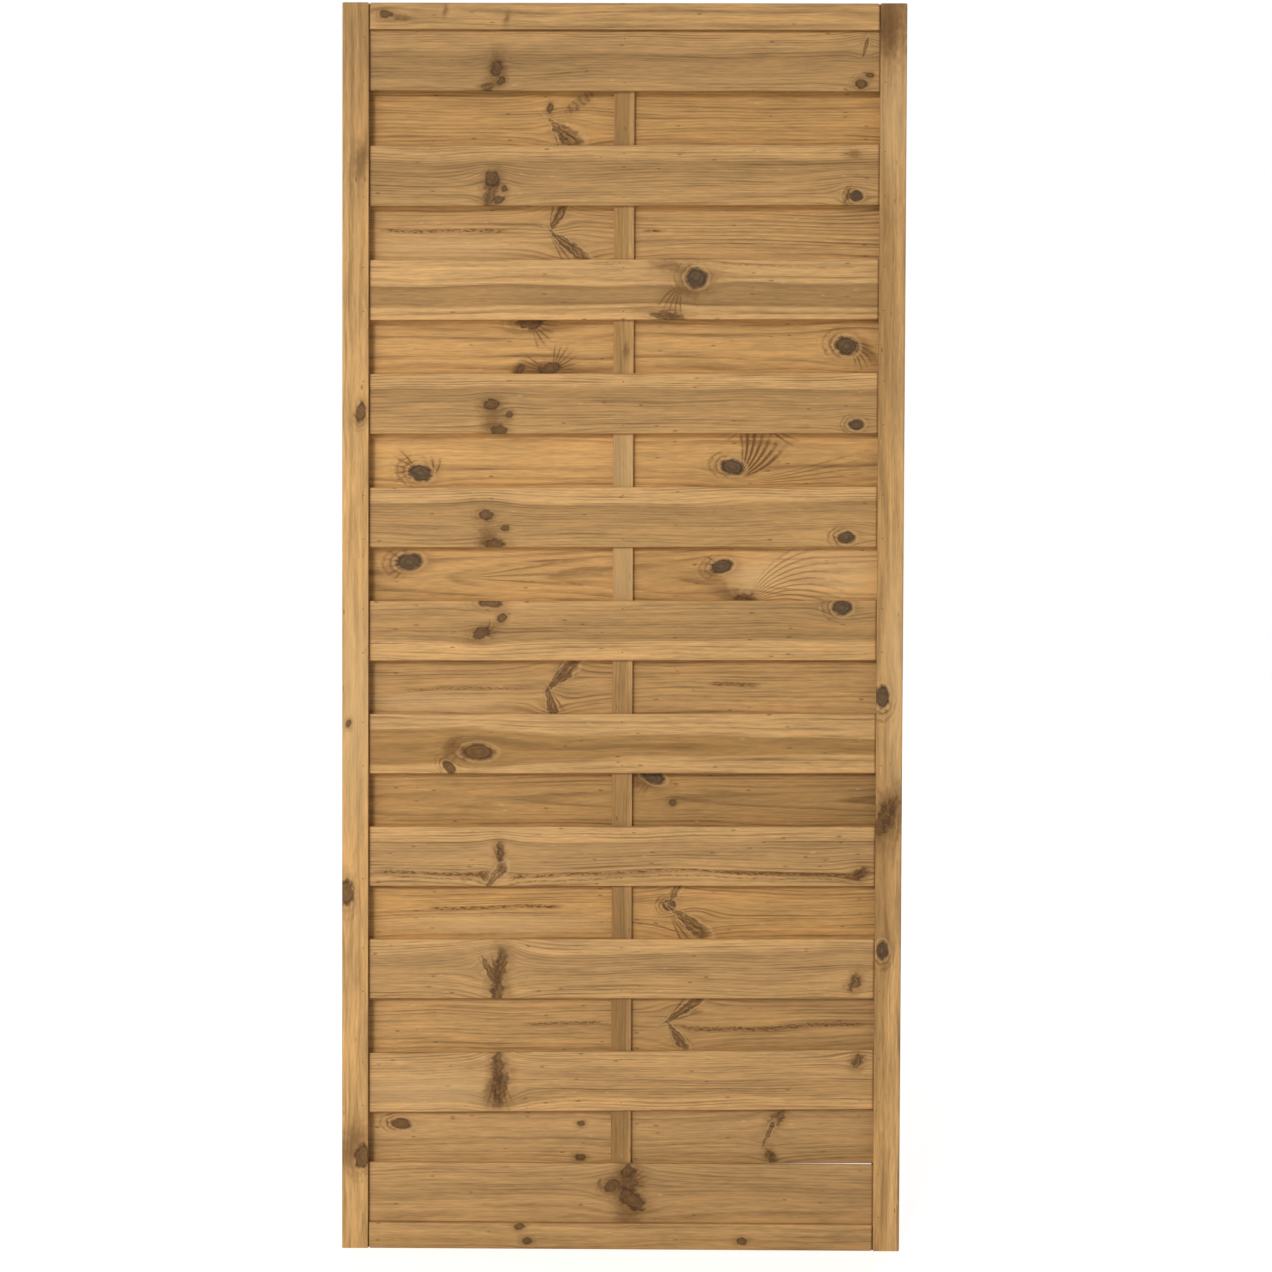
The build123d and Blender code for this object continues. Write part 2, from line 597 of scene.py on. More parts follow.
class KnotGroup(MarkGroup):
    """Inks one knot over a colour, in layers at distances from its middle, with its outline at one."""

    OUTLINE = 1.12
    BARK = 0.98
    SHEATH = 1.4
    HALO_END = 2.7
    ARCS_START = 1.0
    ARCS_END = 3.2

    # Angles of the dark rings' waves for each unit of distance, inside the knot and around it
    INNER_RINGS = 11.0
    OUTER_ARCS = 9.0

    # How far the outline of the thinnest knot strays, in millimetres
    LEAST_STRAY = 2.0

    def __init__(self) -> None:
        """Build the group."""
        here = "along across warp_along warp_across shade "
        sizes = "knot_along knot_across reach girth cosine sine "
        super().__init__("knot", COLOUR, here + sizes + " ".join(part.name for part in fields(Ink)))
        along, across, warp_along, warp_across, shade, *numbers = self.numbers
        knot_along, knot_across, reach, girth, cosine, sine, *inks = numbers
        core, rim, halo, grey, pale, fade, arcs, soft, ragged, bars, lines, striped, taper = inks
        stray = ragged * (girth + self.LEAST_STRAY)
        ahead = along - knot_along + warp_along * stray
        side = across - knot_across + warp_across * stray
        length = (ahead * cosine + side * sine) / reach
        breadth = (side * cosine - ahead * sine) / girth / (1.0 - taper + taper * length)
        edge = (length * length + breadth * breadth).root()
        inside = ((self.OUTLINE + soft - edge) / (soft * 2.0 + 0.26)).step(0.0, 1.0)
        bark = abs(edge - self.BARK).step(0.36, 0.06) * (shade * 4.0 + 0.65).step(0.0, 1.0)
        sheath = abs(edge - self.SHEATH).step(0.28, 0.0)
        around = edge.step(self.HALO_END, 0.9)
        ripple = (edge * self.OUTER_ARCS + shade * 7.0).wave().step(0.4, 0.9)
        start = (shade * 1.5 - length / edge).step(-0.2, 0.9)
        arc = ripple * edge.step(self.ARCS_START, 1.3) * edge.step(self.ARCS_END, 1.6) * start
        stripe = ((length * bars + breadth * lines) * math.tau + shade * 9.0).wave().step(0.25, 0.8)
        pith = edge.step(0.45, 0.0) * 0.25
        growth = (edge * self.INNER_RINGS + shade * 8.0).wave() * 0.3 + pith + 0.75 + shade * 1.6
        soaked = self.mix(0.5, self.scale(self.running, 0.66), Tint.KNOT_HALO)
        stained = self.mix(around * halo * (shade * 1.6 + 0.9), self.running, soaked)
        sheathed = self.mix(sheath * pale + inside * fade, stained, Tint.SAP_PALE)
        ringed = self.mix(arc * arcs * (shade * 2.0 + 0.8), sheathed, Tint.KNOT_HALO)
        flesh = self.scale(self.mix(grey, Tint.KNOT_BROWN, Tint.KNOT_GREY), growth)
        cored = self.mix(inside * core, ringed, flesh)
        dark = self.math("MAXIMUM", bark * rim, inside * stripe * striped)
        self.returns(self.mix(dark, cored, Tint.KNOT_RIM))


class FanGroup(MarkGroup):
    """Inks one fan of lines over a colour."""

    def __init__(self) -> None:
        """Build the group."""
        here = "along across shade fan_along fan_across "
        super().__init__("fan of lines", COLOUR, here + "reach turn spread count bend fill bold depth")
        along, across, shade, fan_along, fan_across, *looks = self.numbers
        reach, turn, spread, count, bend, fill, bold, depth = looks
        ahead = along - fan_along
        side = across - fan_across
        far = (ahead * ahead + side * side).root() / reach
        angle = self.math("ARCTAN2", side, ahead) - turn - bend * far
        place = self.math("WRAP", angle, math.pi, -math.pi) / spread
        ends = (far + shade * 0.5).step(1.1, 0.5) * far.step(0.04, 0.2)
        window = (abs(place) + shade * 0.4).step(1.1, 0.8) * ends
        line = ((place * count * math.pi + shade * 1.6).wave() + bold).step(0.55, 0.95)
        warm = self.mix(window * fill, self.running, Tint.KNOT_HALO)
        self.returns(self.mix(window * line * depth, warm, Tint.RESIN))


class StreakGroup(MarkGroup):
    """Inks one resin line over a colour, with its lengths in millimetres."""

    WANDER = 6.0
    SWING = 90.0
    END = 25.0
    DOT_LENGTH = 7.0
    DOT_WIDTH = 2.2

    def __init__(self) -> None:
        """Build the group."""
        super().__init__("resin line", COLOUR, "along level seed start end place girth depth")
        along, level, seed, start, end, place, girth, depth = self.numbers
        wander = self.noise(self.vector(along / self.SWING, seed, 0.0)) * self.WANDER
        off = abs(level - place + wander) / girth
        window = ((along - start) / self.END).step(0.0, 1.0) * ((end - along) / self.END).step(0.0, 1.0)
        grit = self.vector(along / self.DOT_LENGTH, level / self.DOT_WIDTH, seed + 3.0)
        dots = self.noise(grit, detail=3.0).step(-0.08, 0.14)
        share = off.step(1.4, 0.3) * window * (dots * 0.6 + 0.4) * depth
        self.returns(self.mix(share, self.running, Tint.RESIN))


class WoodKit:
    """The node groups that every board's material shares."""

    def __init__(self) -> None:
        """Build the groups once."""
        self.swerve = SwerveGroup()
        self.knot = KnotGroup()
        self.fan = FanGroup()
        self.streak = StreakGroup()


@dataclass(frozen=True)
class Cloud:
    """The lumps of one noise on a board, in millimetres.

    Attributes:
        long: Length of a lump along the fibres.
        wide: Its width across them.
        deep: Its depth behind the face, or nothing where it goes right through.
        salt: How far the noise moves for each unit of a board's seed.
        detail: Number of finer layers in it.
    """

    long: float
    wide: float
    deep: float | None = None
    salt: float = 1.0
    detail: float = 3.0


@dataclass(frozen=True)
class PineFinish:
    """Brown-treated pine: growth rings that swerve round knots, heartwood bands, resin and saw-cut ends.

    Attributes:
        kit: The shared node groups.
        strands: Lumps of the strands that a board is made of.
        blotches: Lumps of the patches that the treatment left.
        fibres: Lumps of single fibres.
        strays: Lumps of the fibres' slow wander.
        outlines: Lumps of the knots' unevenness.
        specks: Lumps that hold one speck each.
        wander: How far the fibres stray, in millimetres.
        fray: How far strands fray the edges of the bands, in millimetres.
        margin: Range of the bands for each unit of a board's width.
        spells: Number of good and bad spells to a year, which make rings strong or weak.
        spell_length: Length over which a ring keeps its strength, in millimetres.
        late: Brightness of latewood beside the wood around it, before it is tinted.
        late_tint: Strength of its own tint.
        fibre: How strongly single fibres show.
        blotch: How unevenly the treatment took.
        blush: Strength of the warm tint on its paler patches.
        speck: Strength of resin specks.
        fleck: Strength of pale flecks.
        lean: How far a knot moves across the board for each millimetre behind its face.
        crevice: Strength of the painted shade beside the stiles, where the front slats run under their lips.
        crevice_start: Distance from a stile at which the painted shade starts, in millimetres.
        crevice_full: Distance at which it has its strength.
        sawn: Strength of the stain on saw-cut ends.
        sawn_tint: Strength of its own tint.
        roughness: Roughness of the planed face.
        roughness_spread: How much single fibres change it.
        shine: Strength of its reflections.
        relief: Height of the grain in metres.
        relief_share: How much of that height shows.
    """

    kit: WoodKit
    strands: Cloud = Cloud(190.0, 3.0, 3.0, detail=2.0)
    blotches: Cloud = Cloud(150.0, 12.0, 60.0)
    fibres: Cloud = Cloud(26.0, 2.4, 2.4)
    strays: Cloud = Cloud(260.0, 70.0, salt=3.7, detail=1.0)
    outlines: Cloud = Cloud(11.0, 8.0, salt=2.3)
    specks: Cloud = Cloud(30.0, 9.0, salt=1.3)
    wander: float = 20.0
    fray: float = 5.0
    margin: float = 1.2
    spells: float = 0.45
    spell_length: float = 900.0
    late: float = 0.62
    late_tint: float = 0.5
    fibre: float = 0.5
    blotch: float = 0.62
    blush: float = 0.4
    speck: float = 0.6
    fleck: float = 0.22
    lean: float = 0.9
    # Painted shade along the front slats' ends, in the crevice under the stiles' lips
    crevice: float = 0.7
    crevice_start: float = 4.0
    crevice_full: float = 0.6
    sawn: float = 0.75
    sawn_tint: float = 0.7
    roughness: float = 0.62
    roughness_spread: float = 0.25
    shine: float = 0.2
    relief: float = 0.00025
    relief_share: float = 0.6

    def make(
        self, board: Board, figure: Figure, seed: float, opening: float | None = None
    ) -> bpy.types.Material:
        """Make one board's material.

        Args:
            board: The board that it is for.
            figure: What the board shows of its log.
            seed: A number of its own, so that no two boards have the same noise.
            opening: Distance from its middle to the stiles, beside which painted shade darkens its face,
                where it has such shade.

        Returns:
            The material.
        """
        material, nodes, shader = new_material(f"pine {board.node}")
        timber = Timber(self, nodes, board, figure, seed)
        grain = {"Strength": self.relief_share, "Distance": self.relief, "Height": timber.fibres}
        nodes.fill(shader, {
            "Base Color": timber.paint(opening),
            "Roughness": self.roughness + timber.fibres * self.roughness_spread,
            "Specular IOR Level": self.shine,
            "Normal": nodes.node("ShaderNodeBump", {}, grain),
        })
        return material


@dataclass
class Timber:
    """Paints the wood of one board, layer by layer from its bands and rings out to its knots and ends.

    Attributes:
        finish: The looks that all boards share.
        nodes: The material's nodes.
        board: The board.
        figure: What it shows of its log.
        seed: A number of its own.
    """

    finish: PineFinish
    nodes: Nodes
    board: Board
    figure: Figure
    seed: float

    def __post_init__(self) -> None:
        """Lay out the board's axes, the unevenness of its knots, the way of its fibres and its noises."""
        finish = self.finish
        self.along, self.across, self.depth = self._axes()
        self.leaning = self.across + (self.depth + self.board.thickness / 2) * finish.lean
        self.warp_along, self.warp_across, self.shade = self._warp()
        stray = self._noise(finish.strays, self.across) * finish.wander
        self.level = self.across + stray + self._swerve()
        self.strands = self._noise(finish.strands, self.level)
        self.blotch = self._noise(finish.blotches, self.level)
        self.fibres = self._noise(finish.fibres, self.across)
        self.colour = self._bands()

    def paint(self, opening: float | None) -> Signal:
        """Lay all of the board's colours over its bands.

        Args:
            opening: Distance from its middle to the stiles, beside which painted shade darkens its face,
                where it has such shade.

        Returns:
            The colour.
        """
        self._lay_rings()
        self._lay_fibres()
        self._lay_specks()
        self._lay_streaks()
        self._lay_knots(barked=False)
        self._lay_fans()
        self._lay_knots(barked=True)
        # Painted shade in the crevice beside each stile, where the slat runs under the lip
        if opening is not None:
            start = opening - self.finish.crevice_start
            near = abs(self.along).step(start, opening - self.finish.crevice_full)
            self._lay(near * self.finish.crevice, Tint.CREVICE)
        self._lay_ends()
        return self.colour

    def _axes(self) -> tuple[Signal, Signal, Signal]:
        """Find the places on the board, in millimetres from its middle.

        Returns:
            The places along, across and behind it.
        """
        nodes, board = self.nodes, self.board
        place = nodes.scale(nodes.node("ShaderNodeTexCoord", {}, {}, output="Object"), METRES_TO_MM)
        moved = nodes.node("ShaderNodeVectorMath", {"operation": "SUBTRACT"}, {0: place, 1: board.middle})
        x, y, z = nodes.split(moved)
        if board.grain is Grain.UPRIGHT:
            return z, x, y
        return x, z - x * (board.rise / board.length), y

    def _place(self, cloud: Cloud, across: Signal) -> Signal:
        """Find where one of the board's noises is read.

        Args:
            cloud: The noise's lumps.
            across: The place across the board, straight or along the fibres.

        Returns:
            The place, counted in lumps.
        """
        moved = self.seed * cloud.salt
        behind = moved if cloud.deep is None else self.depth / cloud.deep + moved
        return self.nodes.vector(self.along / cloud.long, across / cloud.wide, behind)

    def _noise(self, cloud: Cloud, across: Signal) -> Signal:
        """Make one of the board's noises, around zero."""
        return self.nodes.noise(self._place(cloud, across), cloud.detail)

    def _warp(self) -> tuple[Signal, Signal, Signal]:
        """Make the unevenness of knots.

        Returns:
            Two shifts of their outline and a shade, all around zero.
        """
        cloud = self.finish.outlines
        sockets = {"Vector": self._place(cloud, self.across), "Scale": 1.0, "Detail": cloud.detail}
        noise = self.nodes.node("ShaderNodeTexNoise", {}, sockets, output="Color")
        first, second, third = self.nodes.split(noise)
        return first - 0.5, second - 0.5, third - 0.5

    def _swerve(self) -> Signal:
        """Add up how far the knots that have bark push the fibres aside.

        Returns:
            The distance in millimetres.
        """
        swerve = self.along * 0.0
        here = {"along": self.along, "across": self.across}
        for knot in self.figure.knots:
            if knot.barked:
                steep = abs(math.sin(math.radians(knot.turn)))
                swerve = self.finish.kit.swerve.use(self.nodes, swerve, here | {
                    "knot_along": knot.along, "knot_across": knot.across,
                    "reach": knot.reach * (1 - steep) + knot.girth * steep,
                    "girth": knot.girth * (1 - steep) + knot.reach * steep * 0.6,
                })
        return swerve

    def _bands(self) -> Signal:
        """Colour the bands of sapwood and heartwood, whose edges follow the fibres.

        Returns:
            The colour.
        """
        figure = self.figure
        span = self.board.width * self.finish.margin
        flare = 1.0 + (self.along / self.board.length + 0.5) * figure.flare
        place = (self.level * flare + self.strands * self.finish.fray) / span + 0.5
        stops = []
        for at, share in figure.zones:
            stops.append((min(max(at / span + 0.5, 0.0), 1.0), (share, share, share, 1.0)))
        heart = self.nodes.node("ShaderNodeValToRGB", {"stops": stops}, {0: place})
        return self.nodes.mix(heart, figure.sap, figure.heart)

    def _lay(self, share: Value, tint: Signal | Colour) -> None:
        """Lay a share of another colour over the board's."""
        self.colour = self.nodes.mix(share, self.colour, tint)

    def _lay_rings(self) -> None:
        """Draw the growth rings' latewood, which rises over a year, ends sharply and differs by the year."""
        nodes, finish = self.nodes, self.finish
        pith_across, pith_behind = self.figure.pith
        side = self.level - pith_across
        behind = self.depth - pith_behind + self.along * (self.figure.slant * MM)
        years = (side * side + behind * behind).root() / self.figure.ring
        spell = years * finish.spells + self.seed
        season = nodes.noise(nodes.vector(spell, self.along / finish.spell_length, self.seed))
        phase = (years + season * 2.0 + self.strands * 0.25).fraction()
        line = phase.step(0.35, 0.85) * phase.step(1.0, 0.88)
        strength = (season * 1.8 + self.strands + 0.7).step(0.0, 1.1) * (0.7 - self.blotch * 3.0)
        late = nodes.mix(finish.late_tint, nodes.scale(self.colour, finish.late), Tint.LATEWOOD)
        self._lay(line * strength * self.figure.contrast, late)

    def _lay_fibres(self) -> None:
        """Lay single fibres, strands and an uneven stain over the rings."""
        left, right = self.figure.tone
        tone = self.along * ((right - left) / self.board.length) + (left + right) / 2
        grain = (self.fibres * 1.5 + self.strands) * self.finish.fibre
        patches = self.blotch * (self.finish.blotch * self.figure.mottle)
        self.colour = self.nodes.scale(self.colour, (1.0 + grain + patches) * tone)
        warmth = (self.blotch + self.strands * 0.5).step(0.02, 0.3) * self.finish.blush
        self._lay(warmth, self.nodes.mix(1.0, self.colour, Tint.BLUSH, "MULTIPLY"))

    def _lay_specks(self) -> None:
        """Scatter small resin specks and pale flecks, drawn out along the fibres."""
        sockets = {"Vector": self._place(self.finish.specks, self.level), "Scale": 1.0}
        cell = self.nodes.node("ShaderNodeTexVoronoi", {}, sockets, output="Distance")
        chance, other, _ = self.nodes.split(cell.output("Color"))
        dot = cell.step(0.2, 0.06)
        self._lay(dot * (chance > 1.0 - self.figure.specks * 0.4) * self.finish.speck, Tint.RESIN)
        self._lay(dot * (other > 1.0 - self.figure.specks * 0.2) * self.finish.fleck, Tint.FLECK)

    def _lay_streaks(self) -> None:
        """Draw the resin lines."""
        for index, streak in enumerate(self.figure.streaks):
            here = {"along": self.along, "level": self.level, "seed": self.seed + index}
            self.colour = self.finish.kit.streak.use(self.nodes, self.colour, here | asdict(streak))

    def _lay_knots(self, barked: bool) -> None:
        """Ink some of the knots.

        Args:
            barked: Whether to ink those that have bark, or the stains and pale patches.
        """
        here = {"along": self.along, "across": self.leaning, "shade": self.shade}
        here |= {"warp_along": self.warp_along, "warp_across": self.warp_across}
        for knot in self.figure.knots:
            if knot.barked is barked:
                turn = math.radians(knot.turn)
                sizes = {
                    "knot_along": knot.along, "knot_across": knot.across, "reach": knot.reach,
                    "girth": knot.girth, "cosine": math.cos(turn), "sine": math.sin(turn),
                }
                inked = here | sizes | asdict(knot.ink)
                self.colour = self.finish.kit.knot.use(self.nodes, self.colour, inked)

    def _lay_fans(self) -> None:
        """Ink every fan of lines."""
        here = {"along": self.along, "across": self.leaning, "shade": self.shade}
        for fan in self.figure.fans:
            self.colour = self.finish.kit.fan.use(self.nodes, self.colour, here | {
                "fan_along": fan.along, "fan_across": fan.across, "reach": fan.reach, "count": fan.count,
                "turn": math.radians(fan.turn), "spread": math.radians(fan.spread),
                "bend": math.radians(fan.bend), "fill": fan.fill, "bold": fan.bold, "depth": fan.depth,
            })

    def _lay_ends(self) -> None:
        """Darken the ends, where the saw cut across the fibres."""
        x, _, z = self.nodes.split(self.nodes.node("ShaderNodeNewGeometry", {}, {}, output="Normal"))
        facing = abs(z if self.board.grain is Grain.UPRIGHT else x).step(0.75, 0.9)
        cut = self.nodes.mix(self.finish.sawn_tint, self.colour, Tint.END_GRAIN)
        self._lay(facing * self.finish.sawn, cut)


@dataclass(frozen=True)
class SteelFinish:
    """Galvanised wire and screws, a little dull and stained by the wet wood.

    Attributes:
        name: The material's name.
        rusted: Share of rust stain.
        roughness: Roughness of the clean metal.
        patch: Size of a rust patch in metres.
        dullness: How much of the metal's shine rust takes.
        rust_roughness: How much rougher rust is.
    """

    name: str
    rusted: float
    roughness: float = 0.42
    patch: float = 0.0012
    dullness: float = 0.8
    rust_roughness: float = 0.35

    def make(self) -> bpy.types.Material:
        """Make the material.

        Returns:
            The material.
        """
        material, nodes, shader = new_material(self.name)
        place = nodes.scale(nodes.node("ShaderNodeTexCoord", {}, {}, output="Object"), 1.0 / self.patch)
        spread = 0.2 * self.rusted
        rust = nodes.noise(place, detail=4.0).step(0.12 - spread, 0.25 - spread)
        nodes.fill(shader, {
            "Base Color": nodes.mix(rust, Tint.SILVER, Tint.RUST), "Metallic": 1.0 - rust * self.dullness,
            "Roughness": self.roughness + rust * self.rust_roughness,
        })
        return material


class Recipe(GroupTree):
    """A Geometry Nodes tree with named inputs, turned into plain meshes."""

    def finish(self, geometry: Signal) -> None:
        """End the tree with realized instances and a material.

        Args:
            geometry: What the tree has made.
        """
        real = self.node("GeometryNodeRealizeInstances", {}, {0: geometry})
        sockets = {"Geometry": real, "Material": self.given("Material")}
        self.returns(self.node("GeometryNodeSetMaterial", {}, sockets))

    def bake(self, name: str, values: dict[str, Any]) -> bpy.types.Object:
        """Run the tree and keep its result as a plain mesh.

        Args:
            name: The new object's name.
            values: A value for each named input.

        Returns:
            The new object, at the origin and without modifiers.
        """
        made = put(name, bpy.data.meshes.new(name))
        modifier = made.modifiers.new("recipe", "NODES")
        modifier.node_group = self.tree
        for key, value in values.items():
            modifier[self.sockets[key].identifier] = value
        ready = made.evaluated_get(bpy.context.evaluated_depsgraph_get())
        mesh = bpy.data.meshes.new_from_object(ready)
        made.modifiers.clear()
        made.data = mesh
        mesh.name = name
        return made


class SlatRecipe(Recipe):
    """The tree that makes one planed slat: soft arrises, faintly wavy edges and open brad slots."""

    STEPS = 48
    ARRIS_STEPS = 3
    WAVES_ALONG = 5.0
    WAVES_ACROSS = 9.0
    SLOT_COLUMNS = 3
    SLOT_ROWS = 2

    def __init__(self) -> None:
        """Build the tree once for all slats."""
        floats = ("Length", "Width", "Thickness", "Arris", "Rise", "Height", "Depth", "Waviness", "Seed")
        slots = ("Slot Width", "Slot Height", "Slot Depth", "Slot Face", "Slot Reach", "Slot Spread")
        inputs = dict.fromkeys(floats + slots, FLOAT) | {"Material": "NodeSocketMaterial"}
        super().__init__("planed slat", "GeometryNodeTree", inputs, "NodeSocketGeometry")
        self.finish(self._slotted(self._planed()))

    def _planed(self) -> Signal:
        """Sweep a rounded section along the slat and let its surface wander.

        Returns:
            The slat without its slots.
        """
        half = self.given("Length") * 0.5
        drop = self.given("Rise") * 0.5
        height = self.given("Height")
        depth = self.given("Depth")
        left = self.vector(0.0 - half, depth, height - drop)
        right = self.vector(half, depth, height + drop)
        line = self.node("GeometryNodeCurvePrimitiveLine", {}, {"Start": left, "End": right})
        steps = self.node("GeometryNodeResampleCurve", {}, {"Curve": line, "Count": self.STEPS})
        size = {"Width": self.given("Thickness"), "Height": self.given("Width")}
        section = self.node("GeometryNodeCurvePrimitiveQuadrilateral", {}, size)
        rounded = self.node("GeometryNodeFilletCurve", {"mode": "POLY"}, {
            "Curve": section, "Count": self.ARRIS_STEPS, "Radius": self.given("Arris"), "Limit Radius": True,
        })
        sweep = {"Curve": steps, "Profile Curve": rounded, "Fill Caps": True}
        board = self.node("GeometryNodeCurveToMesh", {}, sweep)
        x, _, z = self.split(self.node("GeometryNodeInputPosition", {}, {}))
        place = self.vector(x * self.WAVES_ALONG, z * self.WAVES_ACROSS, self.given("Seed"))
        edge = self.noise(place, detail=1.0)
        offset = self.vector(0.0, 0.0, edge * self.given("Waviness"))
        return self.node("GeometryNodeSetPosition", {}, {"Geometry": board, "Offset": offset})

    def _slotted(self, board: Signal) -> Signal:
        """Cut the brad slots into the slat's outer face.

        Args:
            board: The slat without them.

        Returns:
            The slat with them.
        """
        grid = self.node("GeometryNodeMeshGrid", {}, {
            "Size X": self.given("Slot Spread"), "Size Y": self.given("Slot Reach"),
            "Vertices X": self.SLOT_COLUMNS, "Vertices Y": self.SLOT_ROWS,
        })
        x, y, _ = self.split(self.node("GeometryNodeInputPosition", {}, {}))
        height = self.given("Height") + y + x * self.given("Rise") / self.given("Length")
        upright = self.vector(x, self.given("Slot Face"), height)
        points = self.node("GeometryNodeSetPosition", {}, {"Geometry": grid, "Position": upright})
        deep = self.given("Slot Depth") * 2.0
        size = self.vector(self.given("Slot Width"), deep, self.given("Slot Height"))
        slot = self.node("GeometryNodeMeshCube", {}, {"Size": size})
        slots = self.node("GeometryNodeInstanceOnPoints", {}, {"Points": points, "Instance": slot})
        cutters = self.node("GeometryNodeRealizeInstances", {}, {0: slots})
        settings = {"operation": "DIFFERENCE", "solver": "EXACT"}
        return self.node("GeometryNodeMeshBoolean", settings, {"Mesh 1": board, "Mesh 2": cutters})


@dataclass
class SlatRows:
    """The front and back rows of slats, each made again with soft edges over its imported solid.

    Attributes:
        finish: The wood that they are cut from.
        arris: Radius of the long edges in metres.
        waviness: How far the edges stray in metres.
        slot_depth: Depth of the open brad slots in metres.
        slot_height: Height of a slot, which is a brad's, in metres.
        slot_reach: Distance between a slat's upper and lower slots in metres.
        first_seed: Seed of the first slat's wood.
        seed_step: How far the seeds of two slats lie apart.
        recipe: The tree that makes them.
    """

    finish: PineFinish
    arris: float = 0.0018
    waviness: float = 0.0007
    slot_depth: float = 0.0022
    slot_height: float = 0.0014
    slot_reach: float = 0.070
    first_seed: float = 0.37
    seed_step: float = 1.61
    recipe: SlatRecipe = field(default_factory=SlatRecipe)

    def build(self, figures: dict[str, Figure], opening: float) -> list[bpy.types.Object]:
        """Make every slat.

        Args:
            figures: What each slat shows of its log.
            opening: Half the width between the stiles, in millimetres.

        Returns:
            The slats.
        """
        low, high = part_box("slat_front_01")
        width = (high.z - low.z) * METRES_TO_MM
        made = []
        for index, (node, figure) in enumerate(figures.items()):
            board = Board.from_node(node, Grain.LEVEL, width)
            seed = self.first_seed + self.seed_step * index
            material = self.finish.make(board, figure, seed, opening if board.faces_front else None)
            made.append(self._make(board, material, index))
        return made

    def _make(self, board: Board, material: bpy.types.Material, seed: int) -> bpy.types.Object:
        """Make one slat over its solid.

        Args:
            board: The slat's place and size.
            material: Its wood.
            seed: Its number, for the waviness of its edges.

        Returns:
            The slat.
        """
        row = "front" if board.faces_front else "back"
        outward = -1.0 if board.faces_front else 1.0
        brad_low, brad_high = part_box(f"batten_brads_{row}")
        lines = [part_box(f"stile_brads_{row}_{side}") for side in ("left", "right")]
        slat = self.recipe.bake(f"planed_{board.node}", {
            "Length": board.length * MM, "Width": board.width * MM, "Thickness": board.thickness * MM,
            "Arris": self.arris, "Rise": board.rise * MM, "Height": board.middle.z * MM,
            "Depth": board.middle.y * MM, "Waviness": self.waviness, "Seed": float(seed),
            "Slot Width": brad_high.x - brad_low.x, "Slot Height": self.slot_height,
            "Slot Depth": self.slot_depth, "Slot Reach": self.slot_reach,
            "Slot Face": (board.middle.y + outward * board.thickness / 2) * MM,
            "Slot Spread": sum(abs((low.x + high.x) / 2) for low, high in lines), "Material": material,
        })
        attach(slat, "root")
        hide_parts(board.node)
        log.info("slat %s: %d faces, rise %.1f mm", slat.name, len(slat.data.polygons), board.rise)
        return slat


def dress_node(node: str, material: bpy.types.Material) -> None:
    """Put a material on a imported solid.

    Args:
        node: The solid's name.
        material: Its new material.
    """
    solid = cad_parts[node]
    solid.data.materials.clear()
    solid.data.materials.append(material)
    log.info("node %s: %s", node, material.name)


@dataclass
class PanelFrame:
    """The stiles, the rails and the centre batten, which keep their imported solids.

    Attributes:
        finish: The wood that they are cut from.
        first_seed: Seed of the first member's wood.
        seed_step: How far the seeds of two members lie apart.
    """

    finish: PineFinish
    first_seed: float = 50.3
    seed_step: float = 2.17

    def dress(self, figures: dict[str, Figure]) -> None:
        """Give every member its own wood.

        Args:
            figures: What each member shows of its log.
        """
        for index, (node, figure) in enumerate(figures.items()):
            grain = Grain.LEVEL if node.startswith("rail") else Grain.UPRIGHT
            board = Board.from_node(node, grain)
            dress_node(node, self.finish.make(board, figure, self.first_seed + self.seed_step * index))


@dataclass
class Fasteners:
    """The brads and the corner screws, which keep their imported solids.

    Attributes:
        brad: The finish of the brads.
        screw: The finish of the screws.
    """

    brad: SteelFinish = SteelFinish("brad steel", 1.6)
    screw: SteelFinish = SteelFinish("screw steel", 0.2)

    def dress(self) -> None:
        """Give every group of fasteners its steel."""
        brad_steel = self.brad.make()
        for node in sorted(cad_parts):
            if "_brads_" in node:
                dress_node(node, brad_steel)
        dress_node("frame_screws", self.screw.make())


class LampKind(Enum):
    """The kinds of lamp."""

    FAR = "SUN"
    NEAR = "AREA"


@dataclass(frozen=True)
class Lamp:
    """One soft lamp.

    Attributes:
        name: Its name.
        kind: Whether it lights from far away or hangs near as a square.
        place: Where it hangs in metres, or the direction that a far one shines from.
        size: Its side in metres, or how many degrees a far one is across.
        power: Its power in watts, or in watts for each square metre from a far one.
        aim: The point that it faces.
    """

    name: str
    kind: LampKind
    place: Place
    size: float
    power: float
    aim: Place = (0.0, 0.0, 0.0)

    def hang(self) -> None:
        """Put the lamp into the scene."""
        lamp = bpy.data.lights.new(self.name, self.kind.value)
        lamp.energy = self.power
        if self.kind is LampKind.FAR:
            lamp.angle = math.radians(self.size)
        else:
            lamp.shape = "SQUARE"
            lamp.size = self.size
        holder = put(self.name, lamp)
        holder.location = self.place
        holder.rotation_euler = (Vector(self.aim) - Vector(self.place)).to_track_quat("-Z", "Y").to_euler()


